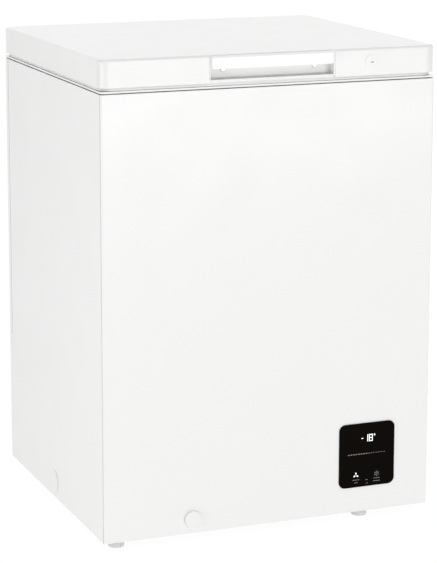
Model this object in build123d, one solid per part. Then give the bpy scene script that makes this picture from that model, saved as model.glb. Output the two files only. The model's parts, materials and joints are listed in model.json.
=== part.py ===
"""Small chest freezer: foamed steel cabinet, top-opening lid, wire basket and compressor bay.

Millimetres. The floor is z = 0, the front faces -Y, +X is to the right as one stands in front,
and the origin is under the middle of the whole freezer, handle and hinges included.
"""
from build123d import *
import math
import os

# overall sizes
cabinet_width = 620
cabinet_depth = 560
cabinet_height = 780
foot_height = 15
lid_height = 48
lid_gap = 11                # from the top of the cabinet sheet up to the lid's skirt
lid_overhang = 2            # lid beyond the cabinet, on each side
grip_reach = 10             # handle ahead of the lid's front

# sheet and wall thicknesses
sheet = 0.8
bottom_sheet = 1.2
bend_radius = 3.5
seam = 1                    # gap between two panels
back_flange = 18            # return of the back panel round onto the sides
wall = 55                   # cabinet wall, outer face to the inside of the liner
floor_insulation = 60
liner_sheet = 1
liner_corner = 22
hump_insulation = 50        # foam over and beside the compressor bay

# compressor
compressor_width = 136
compressor_depth = 124
compressor_height = 158
compressor_corner = 55
compressor_back = 130       # centre, ahead of the cabinet's rear
port_drop = 68              # suction port below the shell's top
mount_inset = 20            # bolts in from the shell's front and rear
grommet_height = 10
grommet_radius = 9
bolt_radius = 3
base_sheet = 2.5

# compressor bay, at the right and rear
bay_room_left = 47          # for the drier and pipes beside the compressor
bay_room_right = 27
bay_headroom = 92
bay_depth = 430
bay_sheet = 1.2
bay_rear_gap = 10           # room for pipes between the bay's liner and the back
bay_strip = 14              # screw strip along the bay liner's rear edge
cover_screw_side = (90, 20)     # upper screws of the rear cover, in from the right side
cover_screw_low = 20

# top frame, measured up from the top of the cabinet sheet
groove_height = 2           # shadow groove over the sheet's edge
groove_depth = 8
frame_top = 5
frame_skirt = 20
frame_wall = 2
ledge_width = 10            # step that carries the basket
ledge_bottom = -8
ledge_top = -5

# lid
lid_sheet = 2
lid_corner = 18
lid_edge = 4.5
inner_flange = 3            # inner panel's flange above the skirt's lower edge
pad_bottom = 4              # underside of the inner panel's pad above the cabinet sheet
pad_step = 20               # pad in from the liner's wall
gasket_inset = 4            # from the lid's outer face
gasket_width = 9
gasket_rest = 0.3           # air under the closed gasket

# handle
pocket_width = 233
pocket_depth = 20
pocket_drop = 6             # pocket's ceiling below the lid's top
pocket_wall = 2
joint_line = 0.8            # groove in the lid's front at each end of the pocket
grip_side_gap = 2.5
grip_drop = 1.5             # grip's top below the lid's top
grip_height = 21.5
grip_wall = 3
grip_hollow = 12            # depth of the finger hollow under the grip
handle_screw_x = 85
handle_screw_rise = 21      # above the skirt's lower edge

# lock
lock_side = 123             # centre, from the cabinet's right side
lock_rise = 23              # above the lid's skirt
lock_bezel_radius = 13
lock_body_radius = 10
barrel_radius = 8
barrel_clearance = 0.05
lock_depth = 14
cam_dip = 2                 # tip of the turned cam below the cabinet sheet's top
cam_width = 10
cam_thickness = 2
cam_clearance = 1
keeper_clearance = 2        # slot for the cam, before and behind it
keeper_depth = 8

# hinges
hinge_side = 110            # centre, from the cabinet's side
pivot_back = 14             # pivot behind the cabinet's rear
pivot_up = 5                # pivot above the cabinet sheet
ear_radius = 8
arm_radius = 7
hinge_sheet = 2
hinge_half_width = 18       # to the inside of the base's ears
hinge_plate_low = 105       # base plate's ends below the cabinet's top
hinge_plate_high = 5
hinge_screw_x = 12
hinge_screw_drops = (30, 90)
arm_screw_rise = 21
arm_side_gap = 0.3
pin_radius = 3
pin_clearance = 0.05
spring_radius = 5.5
spring_wire = 1.1
spring_turns = 7

# control panel
glass_side = 122            # centre, from the cabinet's right side
glass_z = 105               # centre, above the cabinet's lower edge
glass_width = 109
glass_height = 118
glass_corner = 12
glass_thickness = 1.5
print_thickness = 0.2
housing_size = 70
housing_depth = 24
housing_wall = 2
digit_height = 13
digit_width = 7.4
digit_rise = 24.5           # foot of the digits above the glass centre
stroke = 1.4

# drain
drain_x = 163
drain_z = 26
drain_back = 25             # upright pipe behind the liner's front wall
drain_bore = 6
drain_wall = 1.5
drain_cap_radius = 15
drain_cap_reach = 5
plug_clearance = 0.3

# feet
foot_radius = 14
foot_neck = 9
neck_clearance = 0.3
foot_disc = 10
stud_radius = 4
stud_length = 25
stud_clearance = 0.05
foot_left_side = 31         # left feet, from the cabinet's left side
foot_right_side = 123       # right feet, from the cabinet's right side
foot_back = 27              # front feet behind the front, rear feet ahead of the rear

# basket
basket_length = 210
basket_height = 185
basket_gap = 6              # to the liner's right wall
basket_wall = 3
rim_wire = 3
rim_rest = 0.3

# cooling pipes (radii)
condenser_pipe = 2.5
evaporator_pipe = 3.5
suction_pipe = 4
capillary_pipe = 1.2
pipe_clearance = 0.5
lead_back = 6               # pipes behind the bay, from the outer face of the back
condenser_pitch = 75
condenser_rise = 65         # lowest run above the cabinet's lower edge
condenser_drop = 40         # highest run below the cabinet's top
evaporator_pitch = 62
evaporator_rise = 30        # lowest loop above the step
evaporator_drop = 60        # room over the highest loop
riser_side = 60             # suction pipe beside the bay
capillary_side = 120
drier_radius = 9.5
drier_length = 90
drier_drop = 45             # below the bay's ceiling
drier_side = 30             # from the bay's left wall
drier_back = 60             # ahead of the cabinet's rear
probe_radius = 4

# grilles and caps
vent_size = 80
vent_frame = 2
vent_z = 125
vent_reach = 1.5
slot_height = 5
vent_pitch = 9
cover_slot = 42
cover_slot_pitch = (55, 19)
cover_slot_edge = (30, 60)  # first slot from the bay's left wall and from the lower edge
cover_slot_end = (13, 33)   # plain strips at the right and above
gland_side = 60
gland_rise = 30
gland_bore = 4
gland_neck = 7
gland_flange = 9
fill_cap_radius = 21
fill_plug_radius = 15
fill_cap_z = 30
fill_plug_depth = 12

# worked-out places
left = -cabinet_width / 2
right = cabinet_width / 2
handle_reach = lid_overhang + grip_reach
rear_reach = pivot_back + ear_radius
front = handle_reach - (handle_reach + cabinet_depth + rear_reach) / 2
rear = front + cabinet_depth
middle = (front + rear) / 2
base = foot_height
top = base + cabinet_height
floor_top = base + bottom_sheet
liner_floor = base + floor_insulation
liner_inset = wall - liner_sheet
ledge_inset = wall - ledge_width
pad_inset = wall + pad_step
bay_width = bay_room_left + compressor_width + bay_room_right
bay_height = compressor_height + bay_headroom
bay_left = right - bay_width
bay_front = rear - bay_depth
bay_top = base + bay_height
hump_left = bay_left - hump_insulation
hump_top = bay_top + hump_insulation
lid_bottom = top + lid_gap
lid_top = lid_bottom + lid_height
lid_front = front - lid_overhang
lid_rear = rear + lid_overhang
flange_z = lid_bottom + inner_flange
pocket_top = lid_top - pocket_drop
grip_width = pocket_width - 2 * grip_side_gap
grip_high = lid_top - grip_drop
grip_low = grip_high - grip_height
grip_hollow_top = grip_low + grip_hollow
pivot_y = rear + pivot_back
pivot_z = top + pivot_up
hinge_places = {"left": left + hinge_side, "right": right - hinge_side}
control_x = right - glass_side
control_z = base + glass_z
spout_x = left + drain_x
spout_y = front + wall + drain_back
spout_z = base + drain_z
spout_radius = drain_bore + drain_wall
lead_y = rear - lead_back
compressor_x = right - bay_room_right - compressor_width / 2
compressor_y = rear - compressor_back
compressor_z = floor_top + grommet_height + base_sheet
compressor_top = compressor_z + compressor_height
gland_x = right - gland_side
gland_z = base + gland_rise
lock_x = right - lock_side
lock_height = lid_bottom + lock_rise
cam_y = lid_front + lock_depth + cam_clearance
cam_end = cam_y + cam_thickness
cam_reach = lock_height - top + cam_dip
feet = {
    "front_left": (left + foot_left_side, front + foot_back),
    "front_right": (right - foot_right_side, front + foot_back),
    "rear_left": (left + foot_left_side, rear - foot_back),
    "rear_right": (right - foot_right_side, rear - foot_back),
}


def block(x0, x1, y0, y1, z0, z1):
    """Box between two corners."""
    centre = Location(((x0 + x1) / 2, (y0 + y1) / 2, (z0 + z1) / 2))
    return centre * Box(abs(x1 - x0), abs(y1 - y0), abs(z1 - z0))


def rod_x(x0, x1, y, z, radius):
    """Cylinder along X."""
    return Location(((x0 + x1) / 2, y, z), (0, 90, 0)) * Cylinder(radius, abs(x1 - x0))


def rod_y(x, y0, y1, z, radius):
    """Cylinder along Y."""
    return Location((x, (y0 + y1) / 2, z), (90, 0, 0)) * Cylinder(radius, abs(y1 - y0))


def rod_z(x, y, z0, z1, radius):
    """Cylinder along Z."""
    return Location((x, y, (z0 + z1) / 2)) * Cylinder(radius, abs(z1 - z0))


def slab(inset, z0, z1, corner):
    """Upright prism over the cabinet's plan, drawn in by an inset on all four sides."""
    outline = RectangleRounded(cabinet_width - 2 * inset, cabinet_depth - 2 * inset, corner)
    return extrude(Location((0, middle, z0)) * outline, z1 - z0)


def ring(outer, inner, z0, z1, outer_corner, inner_corner):
    """Frame that runs round the cabinet's plan between two insets."""
    return slab(outer, z0, z1, outer_corner) - slab(inner, z0, z1, inner_corner)


def pipe(points, radius, bends):
    """Round pipe along straight runs joined by tangent bends."""
    path = FilletPolyline(*points, radius=bends)
    start = path.edges().sort_by(lambda e: (e @ 0 - Vector(points[0])).length)[0]
    section = Plane(origin=start @ 0, z_dir=start % 0) * Circle(radius)
    return sweep(section, path=path)


def channels(points, radius, bends):
    """Square-sided room round each run of a pipe and round each bend."""
    room = radius + pipe_clearance
    spans = list(zip(points, points[1:]))
    for before, corner, after, bend in zip(points, points[1:], points[2:], bends):
        corner = Vector(corner)
        start = corner + (Vector(before) - corner).normalized() * bend
        end = corner + (Vector(after) - corner).normalized() * bend
        spans.append((tuple(start), tuple(end)))
    boxes = []
    for a, b in spans:
        low = [min(p, q) - room for p, q in zip(a, b)]
        high = [max(p, q) + room for p, q in zip(a, b)]
        boxes.append(block(low[0], high[0], low[1], high[1], low[2], high[2]))
    return boxes


def node(name, shape):
    """Write one sub-part, as a solid or a group of solids."""
    solids = shape.solids()
    whole = solids[0] if len(solids) == 1 else Compound(children=list(solids))
    whole.label = name
    export_step(whole, f"parts/{name}.step")


# pipe routes
condenser_x = left + 2 * sheet + condenser_pipe + pipe_clearance
condenser_rear = rear - wall / 2
condenser_low = base + condenser_rise
condenser_high = top - condenser_drop
condenser_rows = 2 * int((condenser_high - condenser_low) / condenser_pitch / 2)
condenser_start = (bay_left + 10, lead_y, condenser_low)
drier_x = bay_left + drier_side
drier_y = rear - drier_back
drier_top = bay_top - drier_drop
drier_bottom = drier_top - drier_length
coil_inset = liner_inset - max(evaporator_pipe, suction_pipe) - 0.1
coil_front = front + coil_inset
coil_rear = rear - coil_inset
coil_left = left + coil_inset
coil_right = right - coil_inset
coil_low = hump_top + evaporator_rise
coil_corner = liner_corner + liner_inset - coil_inset
coil_steps = int((top - evaporator_drop - coil_low) / evaporator_pitch)
coil_high = coil_low + coil_steps * evaporator_pitch
riser_x = bay_left - riser_side
riser_turn = riser_x + 20
suction_z = bay_top - 50
port_z = compressor_top - port_drop
capillary_x = bay_left - capillary_side
capillary_turn = capillary_x - 40
capillary_z = drier_bottom - 20
discharge_x = bay_left + 22
shell_left = compressor_x - compressor_width / 2
shell_rear = compressor_y + compressor_depth / 2


def condenser_route():
    """From the bay along the back to the left side, to and fro up that side, and back."""
    points = [condenser_start, (condenser_x, lead_y, condenser_low)]
    near, far = lead_y, front + wall / 2
    for row in range(condenser_rows):
        z = condenser_low + row * condenser_pitch
        points += [(condenser_x, far if row % 2 == 0 else condenser_rear, z)]
        points += [(condenser_x, far if row % 2 == 0 else condenser_rear, z + condenser_pitch)]
    last = condenser_low + condenser_rows * condenser_pitch
    points += [(condenser_x, near, last), (condenser_x, near, condenser_high)]
    points += [(drier_x, near, condenser_high), (drier_x, near, bay_top - 25)]
    points += [(drier_x, drier_y, bay_top - 25), (drier_x, drier_y, drier_top)]
    return points, [12] * (len(points) - 2)


def evaporator_route():
    """Loops round the liner, each one a step above the last."""
    points, bends = [], []
    for loop in range(coil_steps + 1):
        z = coil_low + loop * evaporator_pitch
        points += [(capillary_turn, coil_rear, z), (coil_left, coil_rear, z),
                   (coil_left, coil_front, z), (coil_right, coil_front, z),
                   (coil_right, coil_rear, z), (riser_turn, coil_rear, z)]
        bends += [15, coil_corner, coil_corner, coil_corner, coil_corner, 15]
    return points, bends[1:-1]


def suction_route():
    """From the last loop down the back into the bay and to the compressor."""
    points = [(riser_turn, coil_rear, coil_high), (riser_x, coil_rear, coil_high),
              (riser_x, lead_y, coil_high), (riser_x, lead_y, suction_z),
              (compressor_x, lead_y, suction_z), (compressor_x, lead_y, port_z),
              (compressor_x, shell_rear, port_z)]
    return points, [9, 9, 12, 12, 12]


def capillary_route():
    """From the drier along the back to the first loop."""
    points = [(drier_x, drier_y, drier_bottom), (drier_x, drier_y, capillary_z),
              (drier_x, lead_y, capillary_z), (capillary_x, lead_y, capillary_z),
              (capillary_x, lead_y, coil_low), (capillary_x, coil_rear, coil_low),
              (capillary_turn, coil_rear, coil_low)]
    return points, [10, 10, 10, 10, 10]


def discharge_route():
    """From the compressor's side to the condenser."""
    points = [(shell_left, compressor_y, condenser_low), (discharge_x, compressor_y, condenser_low),
              (discharge_x, lead_y, condenser_low), condenser_start]
    return points, [10, 10]


def hinge_screw_places():
    """Centres (x, z) of the screws of both hinge bases."""
    return [(x + dx, top - dz) for x in hinge_places.values()
            for dx in (-hinge_screw_x, hinge_screw_x) for dz in hinge_screw_drops]


def arm_screw_places():
    """Centres (x, z) of the screws of both hinge arms."""
    z = lid_bottom + arm_screw_rise
    return [(x + dx, z) for x in hinge_places.values() for dx in (-hinge_screw_x, hinge_screw_x)]


def screw_shafts(places, y0, y1, radius=2):
    """Plain screw shafts along Y at the given (x, z) places."""
    return [rod_y(x, y0, y1, z, radius) for x, z in places]


def pan_heads(places, y0, y1, radius=4.5):
    """Rounded screw heads along Y with a cross recess, on the y1 side."""
    heads = []
    for x, z in places:
        head = rod_y(x, y0, y1, z, radius)
        face = head.faces().sort_by(Axis.Y)[-1 if y1 > y0 else 0]
        head = fillet(face.edges(), 1)
        depth = (y1 - y0) * 0.4
        head -= block(x - 2.2, x + 2.2, y1 - depth, y1, z - 0.4, z + 0.4)
        head -= block(x - 0.4, x + 0.4, y1 - depth, y1, z - 2.2, z + 2.2)
        heads.append(head)
    return heads


def screws(places, seat, shaft_end, reach):
    """Screws seated on a face at y = seat, with the head standing out by reach."""
    shafts = screw_shafts(places, seat, shaft_end)
    heads = pan_heads(places, seat, seat + reach)
    return Compound(children=[(h + s).solid() for h, s in zip(heads, shafts)])


def cabinet_skin():
    """The outer sheet all round, before it is cut into panels."""
    return ring(0, sheet, base, top, bend_radius, bend_radius - sheet)


def tongue(side_x, inward, z0, z1):
    """Strip of a side panel that is joggled in behind the back panel's flange."""
    edge = rear - back_flange
    return block(side_x + inward * sheet, side_x + inward * 2 * sheet, edge - 4, edge + 10, z0, z1)


def panels():
    """Front, sides, back, lower back and bottom."""
    skin = cabinet_skin()
    y_front = front + bend_radius
    y_rear = rear - back_flange
    face = skin & block(left, right, front, y_front, base, top)
    face -= block(control_x - housing_size / 2, control_x + housing_size / 2, front, y_front,
                  control_z - housing_size / 2, control_z + housing_size / 2)
    face -= rod_y(spout_x, front, y_front, spout_z, spout_radius)
    node("front_panel", face)
    side = block(left, left + sheet, y_front + seam, y_rear - seam, base, top)
    side += tongue(left, 1, base + bottom_sheet, top - frame_skirt - seam)
    side -= rod_x(left, left + 2 * sheet, middle, base + fill_cap_z, fill_plug_radius)
    node("left_side_panel", side)
    side = block(right - sheet, right, y_front + seam, y_rear - seam, base, top)
    side += tongue(right, -1, base + bottom_sheet, top - frame_skirt - seam)
    side -= block(right - sheet, right, compressor_y - vent_size / 2, compressor_y + vent_size / 2,
                  base + vent_z - vent_size / 2, base + vent_z + vent_size / 2)
    node("right_side_panel", side)
    shafts = screw_shafts(hinge_screw_places(), rear + hinge_sheet, rear - 8)
    back = skin & block(left, right, y_rear, rear, bay_top, top)
    node("back_panel", back - shafts)
    lower = skin & block(left, bay_left, y_rear, rear, base, bay_top - seam)
    node("back_lower_panel", lower)
    plate = slab(sheet, base, floor_top, bend_radius - sheet)
    for x, y in feet.values():
        plate -= rod_z(x, y, base, floor_top, stud_radius + stud_clearance)
    node("bottom_plate", plate)
    cover = skin & block(bay_left + seam, right, y_rear, rear, base, bay_top - seam)
    columns = int((bay_width - cover_slot_edge[0] - cover_slot_end[0]) / cover_slot_pitch[0])
    rows = int((bay_height - cover_slot_edge[1] - cover_slot_end[1]) / cover_slot_pitch[1]) + 1
    for column in range(columns):
        for row in range(rows):
            x = bay_left + cover_slot_edge[0] + column * cover_slot_pitch[0]
            z = base + cover_slot_edge[1] + row * cover_slot_pitch[1]
            cover -= block(x, x + cover_slot, rear - sheet, rear, z, z + slot_height)
    cover -= rod_y(gland_x, rear - sheet, rear, gland_z, gland_neck)
    cover -= screw_shafts(cover_screw_places(), rear, rear - 8)
    node("rear_cover", cover)
    node("rear_cover_screws", screws(cover_screw_places(), rear, rear - 8, 3))
    gland = rod_y(gland_x, rear - 4, rear - sheet, gland_z, gland_flange)
    gland += rod_y(gland_x, rear - sheet, rear, gland_z, gland_neck)
    gland += rod_y(gland_x, rear, rear + 3, gland_z, gland_flange)
    node("cord_gland", gland - rod_y(gland_x, rear - 4, rear + 3, gland_z, gland_bore))


def cover_screw_places():
    """Centres (x, z) of the rear cover's screws."""
    x, high = bay_left + bay_strip / 2, bay_top - bay_strip / 2
    return [(x, base + cover_screw_low), (x, high)] + [(right - side, high) for side in cover_screw_side]


def liner_shape(inset, floor, z1, corner, hump_x, hump_z):
    """Tank outline with the step over the compressor bay."""
    return slab(inset, floor, z1, corner) - block(hump_x, right, front, rear, base, hump_z)


def liner():
    """Deep tank with a turned-out top flange."""
    rim = top + ledge_bottom
    tank = liner_shape(liner_inset, liner_floor - liner_sheet, rim, liner_corner,
                       hump_left, hump_top)
    tank += ring(ledge_inset - 1, liner_inset, rim - liner_sheet, rim, liner_corner, liner_corner)
    tank -= liner_shape(wall, liner_floor, rim, liner_corner - liner_sheet,
                        hump_left - liner_sheet, hump_top + liner_sheet)
    tank -= rod_z(spout_x, spout_y, liner_floor - liner_sheet, liner_floor, spout_radius)
    node("inner_liner", tank)


def probe():
    """Sensor tube that lies against the liner's rear wall."""
    y = rear - liner_inset + probe_radius + 0.1
    z = coil_low + 2.5 * evaporator_pitch
    x = coil_right - 120
    body = rod_x(x, x + 60, y, z, probe_radius) + rod_x(x + 60, x + 75, y, z, 1.5)
    node("temperature_probe", body)
    room = probe_radius + 1
    return block(x - 1, x + 76, y - room, y + room, z - room, z + room)


def foam(probe_room):
    """Foam that fills the space between skin and liner, with room for what is in it."""
    rim = top + ledge_bottom
    body = slab(sheet, floor_top, rim - liner_sheet, bend_radius - sheet)
    body += ring(groove_depth + frame_wall, ledge_inset - 1, rim - liner_sheet, top + groove_height,
                 bend_radius, liner_corner)
    body -= liner_shape(liner_inset, liner_floor - liner_sheet, top + frame_top, liner_corner,
                        hump_left, hump_top)
    body -= ring(0, groove_depth + frame_wall, top - frame_skirt, top + frame_top,
                 bend_radius, bend_radius)
    body -= block(bay_left, right, bay_front, rear, base, bay_top)
    room = [block(control_x - housing_size / 2, control_x + housing_size / 2, front,
                  front + housing_depth, control_z - housing_size / 2, control_z + housing_size / 2)]
    room += [rod_y(spout_x, front, spout_y + spout_radius, spout_z, spout_radius),
             rod_z(spout_x, spout_y, spout_z - spout_radius, liner_floor, spout_radius)]
    room += [rod_x(left, left + sheet + fill_plug_depth, middle, base + fill_cap_z, fill_plug_radius)]
    room += [rod_z(x, y, base, base + stud_length + 5, stud_radius + 0.6) for x, y in feet.values()]
    for route, radius in ((condenser_route, condenser_pipe), (evaporator_route, evaporator_pipe),
                          (suction_route, suction_pipe), (capillary_route, capillary_pipe)):
        points, bends = route()
        room += channels(points, radius, bends)
    room += screw_shafts(hinge_screw_places(), rear, rear - 8)
    room += [keeper_room(1, top - keeper_depth), probe_room]
    for side, inward in ((left, 1), (right, -1)):
        room.append(tongue(side, inward, base, top))
        room.append(block(side, side + inward * 2 * sheet, rear - back_flange - 4,
                          rear - back_flange + 10, base, top))
    body -= room
    node("insulation_foam", body.solids().sort_by(lambda s: s.volume)[-1])


def keeper_room(grow, low):
    """Space in the top frame and the foam that the lock's cam turns down into."""
    return block(lock_x - cam_width + 2 - grow, lock_x + cam_reach - 11 + grow,
                 cam_y - keeper_clearance - grow, cam_end + keeper_clearance + grow,
                 low, top + frame_top)


def top_frame():
    """Plastic frame that joins skin and liner and carries the gasket and the basket."""
    frame = ring(0, ledge_inset + frame_wall, top + groove_height, top + frame_top,
                 bend_radius, liner_corner)
    frame += ring(groove_depth, groove_depth + frame_wall, top - frame_skirt, top + groove_height,
                  bend_radius, bend_radius)
    frame += ring(ledge_inset, ledge_inset + frame_wall, top + ledge_bottom, top + groove_height,
                  liner_corner, liner_corner)
    frame += ring(ledge_inset, wall, top + ledge_bottom, top + ledge_top, liner_corner,
                  liner_corner - liner_sheet)
    node("top_frame", frame - keeper_room(0, top))


def bay():
    """Sheet-metal room for the compressor, open to the rear and to the right side."""
    y1 = rear - bay_rear_gap
    side = right - 2 * sheet
    room = block(bay_left, side, bay_front, y1, floor_top, bay_top)
    room -= block(bay_left + bay_sheet, side, bay_front + bay_sheet, y1, floor_top,
                  bay_top - bay_sheet)
    room += block(bay_left, bay_left + bay_strip, y1 - bay_sheet, y1, floor_top, bay_top)
    room += block(bay_left, side, y1 - bay_sheet, y1, bay_top - bay_strip, bay_top)
    places = cover_screw_places()
    node("bay_liner", room - screw_shafts(places, rear, rear - bay_rear_gap - bay_sheet))


def compressor():
    """Hermetic compressor on rubber grommets, with its cover and its dryer."""
    outline = RectangleRounded(compressor_width, compressor_depth, compressor_corner)
    shell = extrude(Location((compressor_x, compressor_y, compressor_z)) * outline, compressor_height)
    shell = fillet(shell.edges().group_by(Axis.Z)[-1], 38)
    shell = fillet(shell.edges().group_by(Axis.Z)[0], 22)
    shell += ring_weld()
    node("compressor_shell", shell)
    mount_x, mount_y = compressor_width / 2, compressor_depth / 2 - mount_inset
    corners = [(compressor_x + dx, compressor_y + dy)
               for dx in (-mount_x, mount_x) for dy in (-mount_y, mount_y)]
    foot_z = floor_top + grommet_height
    plate_top = foot_z + base_sheet
    plate = block(compressor_x - mount_x - 12, compressor_x + mount_x + 12,
                  compressor_y - mount_y - 10, compressor_y + mount_y + 10, foot_z, plate_top)
    plate = fillet(plate.edges().filter_by(Axis.Z), 10)
    grommets, bolts = [], []
    for x, y in corners:
        hole = rod_z(x, y, floor_top, plate_top, bolt_radius + 0.5)
        plate -= hole
        grommets.append((rod_z(x, y, floor_top, foot_z, grommet_radius) - hole).solid())
        bolt = rod_z(x, y, floor_top, plate_top, bolt_radius)
        bolts.append((bolt + rod_z(x, y, plate_top, plate_top + 4, 2 * bolt_radius)).solid())
    node("compressor_base", plate)
    node("compressor_grommets", Compound(children=grommets))
    node("compressor_bolts", Compound(children=bolts))
    x = compressor_x + compressor_width / 2
    cover = block(x, x + 16, compressor_y - 6, compressor_y + 6, compressor_top - 82, compressor_top - 48)
    cover += block(x + 4, x + 16, compressor_y - 24, compressor_y + 24,
                   compressor_top - 100, compressor_top - 40)
    node("terminal_cover", fillet(cover.faces().sort_by(Axis.X)[-1].edges(), 3))
    drier = rod_z(drier_x, drier_y, drier_bottom, drier_top, drier_radius)
    drier = chamfer(drier.edges().filter_by(GeomType.CIRCLE), 5)
    node("filter_drier", drier)


def ring_weld():
    """Lap weld round the middle of the compressor's shell."""
    outline = RectangleRounded(compressor_width, compressor_depth, compressor_corner)
    wide = offset(outline, 3)
    z = compressor_z + compressor_height * 0.42
    return extrude(Location((compressor_x, compressor_y, z)) * (wide - outline), 5)


def pipes():
    """Condenser, evaporator and the pipes that join them to the compressor."""
    for name, (points, bends), radius in (
            ("condenser_coil", condenser_route(), condenser_pipe),
            ("evaporator_coil", evaporator_route(), evaporator_pipe),
            ("suction_tube", suction_route(), suction_pipe),
            ("capillary_tube", capillary_route(), capillary_pipe),
            ("discharge_tube", discharge_route(), condenser_pipe)):
        node(name, pipe(points, radius, bends))


def drain():
    """Drain pipe through the foam, its outside cap and its inside plug."""
    spout = rod_y(spout_x, front, spout_y, spout_z, spout_radius)
    spout += rod_z(spout_x, spout_y, spout_z, liner_floor, spout_radius)
    spout += Location((spout_x, spout_y, spout_z)) * Sphere(spout_radius)
    spout -= rod_y(spout_x, front, spout_y, spout_z, drain_bore)
    spout -= rod_z(spout_x, spout_y, spout_z, liner_floor, drain_bore)
    spout -= Location((spout_x, spout_y, spout_z)) * Sphere(drain_bore)
    node("drain_spout", spout)
    inner = drain_bore - plug_clearance
    seat = front - plug_clearance
    disc = rod_y(spout_x, seat - drain_cap_reach, seat, spout_z, drain_cap_radius)
    disc = fillet(disc.faces().sort_by(Axis.Y)[0].edges(), 1.5)
    cap = disc + rod_y(spout_x, seat, front + 12, spout_z, inner)
    node("drain_cap", cap)
    seat = liner_floor + plug_clearance
    head = rod_z(spout_x, spout_y, seat, seat + 4, 13)
    head = fillet(head.faces().sort_by(Axis.Z)[-1].edges(), 1.5)
    knob = rod_z(spout_x, spout_y, seat + 4, seat + 12, 4)
    node("drain_plug", head + knob + rod_z(spout_x, spout_y, liner_floor - 9, seat, inner))


def segment_digit(x, z, lit):
    """Seven-bar digit with its lower left corner at (x, z)."""
    half = digit_height / 2
    bars = {
        "a": (0, digit_width, digit_height - stroke, digit_height),
        "b": (digit_width - stroke, digit_width, half, digit_height),
        "c": (digit_width - stroke, digit_width, 0, half),
        "d": (0, digit_width, 0, stroke),
        "e": (0, stroke, 0, half),
        "f": (0, stroke, half, digit_height),
        "g": (0, digit_width, half - stroke / 2, half + stroke / 2),
    }
    shape = None
    for bar in lit:
        x0, x1, z0, z1 = bars[bar]
        piece = printed(x + x0, x + x1, z + z0, z + z1)
        shape = piece if shape is None else shape + piece
    return shape


def printed(x0, x1, z0, z1):
    """Thin bar on the front of the control glass."""
    y = front - glass_thickness
    return block(x0, x1, y - print_thickness, y, z0, z1)


def control_panel():
    """Touch glass, the digits and icons on it, and the housing and board behind it."""
    outline = RectangleRounded(glass_width, glass_height, glass_corner)
    face = Plane(origin=(control_x, front, control_z), x_dir=(1, 0, 0), z_dir=(0, -1, 0))
    glass = extrude(face * outline, glass_thickness)
    node("control_glass", glass)
    y = front + housing_depth
    half = housing_size / 2
    housing = block(control_x - half, control_x + half, front, y, control_z - half, control_z + half)
    inner = half - housing_wall
    housing -= block(control_x - inner, control_x + inner, front, y - housing_wall,
                     control_z - inner, control_z + inner)
    posts = [(control_x + dx, control_z + dz) for dx in (-26, 26) for dz in (-26, 26)]
    board_y = front + 10
    for x, z in posts:
        housing += rod_y(x, board_y + 1.6, y - housing_wall, z, 3)
    node("control_housing", housing)
    board = block(control_x - 31, control_x + 31, board_y, board_y + 1.6,
                  control_z - 31, control_z + 31)
    for x, z in ((-12, 14), (10, 16), (-6, -14), (14, -10)):
        board += block(control_x + x - 6, control_x + x + 6, board_y - 3, board_y,
                       control_z + z - 5, control_z + z + 5)
    node("control_board", board)
    low = control_z + digit_rise
    marks = [printed(control_x - 11, control_x - 7.8, low + 5.8, low + 7.2),
             printed(control_x + 0.7, control_x + 0.7 + stroke, low, low + digit_height),
             segment_digit(control_x + 3.8, low, "abcdefg")]
    degree = on_glass(control_x + 14.8, low + digit_height - 1.6) * (Circle(1.6) - Circle(0.8))
    marks.append(extrude(degree, print_thickness))
    node("display_digits", Compound(children=[s for m in marks for s in m.solids()]))
    node("panel_icons", Compound(children=panel_icons()))


def on_glass(x, z):
    """Plane on the front of the control glass."""
    return Plane(origin=(x, front - glass_thickness, z), z_dir=(0, -1, 0))


def panel_icons():
    """Fan, snowflake, a row of dashes and short caption strokes."""
    fan_x, fan_z = control_x - 21.2, control_z - 36.6
    flake_x, flake_z = control_x + 19.8, control_z - 37.5
    pieces = []
    for turn in (90, 210, 330):
        angle = math.radians(turn)
        blade = on_glass(fan_x + 2.7 * math.cos(angle), fan_z + 2.7 * math.sin(angle)) * Circle(1.9)
        pieces.append(extrude(blade, print_thickness))
    spokes = None
    for turn in (0, 60, 120):
        bar = on_glass(flake_x, flake_z) * Rot(0, 0, turn) * Rectangle(9.6, 0.9)
        bar = extrude(bar, print_thickness)
        spokes = bar if spokes is None else spokes + bar
    pieces.append(spokes)
    row = control_z + 2.3
    for dash in range(6):
        x = control_x - 37 + dash * 12.2
        pieces.append(printed(x, x + 11, row - 0.6, row + 0.6))
    for x, z, half in ((fan_x, -45.4, 7), (fan_x, -50.5, 4), (flake_x, -45.7, 6), (flake_x, -51, 7)):
        pieces.append(printed(x - half, x + half, control_z + z - 0.5, control_z + z + 0.5))
    return [s for p in pieces for s in p.solids()]


def small_trim():
    """Foam filling cap on the left side and the vent grille on the right side."""
    z = base + fill_cap_z
    cap = rod_x(left - 1.5, left, middle, z, fill_cap_radius)
    cap = fillet(cap.faces().sort_by(Axis.X)[0].edges(), 0.8)
    cap += rod_x(left, left + sheet + fill_plug_depth, middle, z, fill_plug_radius)
    node("foam_fill_cap", cap)
    half = vent_size / 2
    z = base + vent_z
    rim = half + vent_frame
    grille = block(right, right + vent_reach, compressor_y - rim, compressor_y + rim, z - rim, z + rim)
    grille += block(right - 4, right, compressor_y - half, compressor_y + half, z - half, z + half)
    for row in range(int((vent_size - 6) / vent_pitch)):
        slot = z - half + 6 + row * vent_pitch
        grille -= block(right - 4, right + vent_reach, compressor_y - half + 6, compressor_y + half - 6,
                        slot, slot + slot_height)
    node("side_vent_grille", grille)


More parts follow.
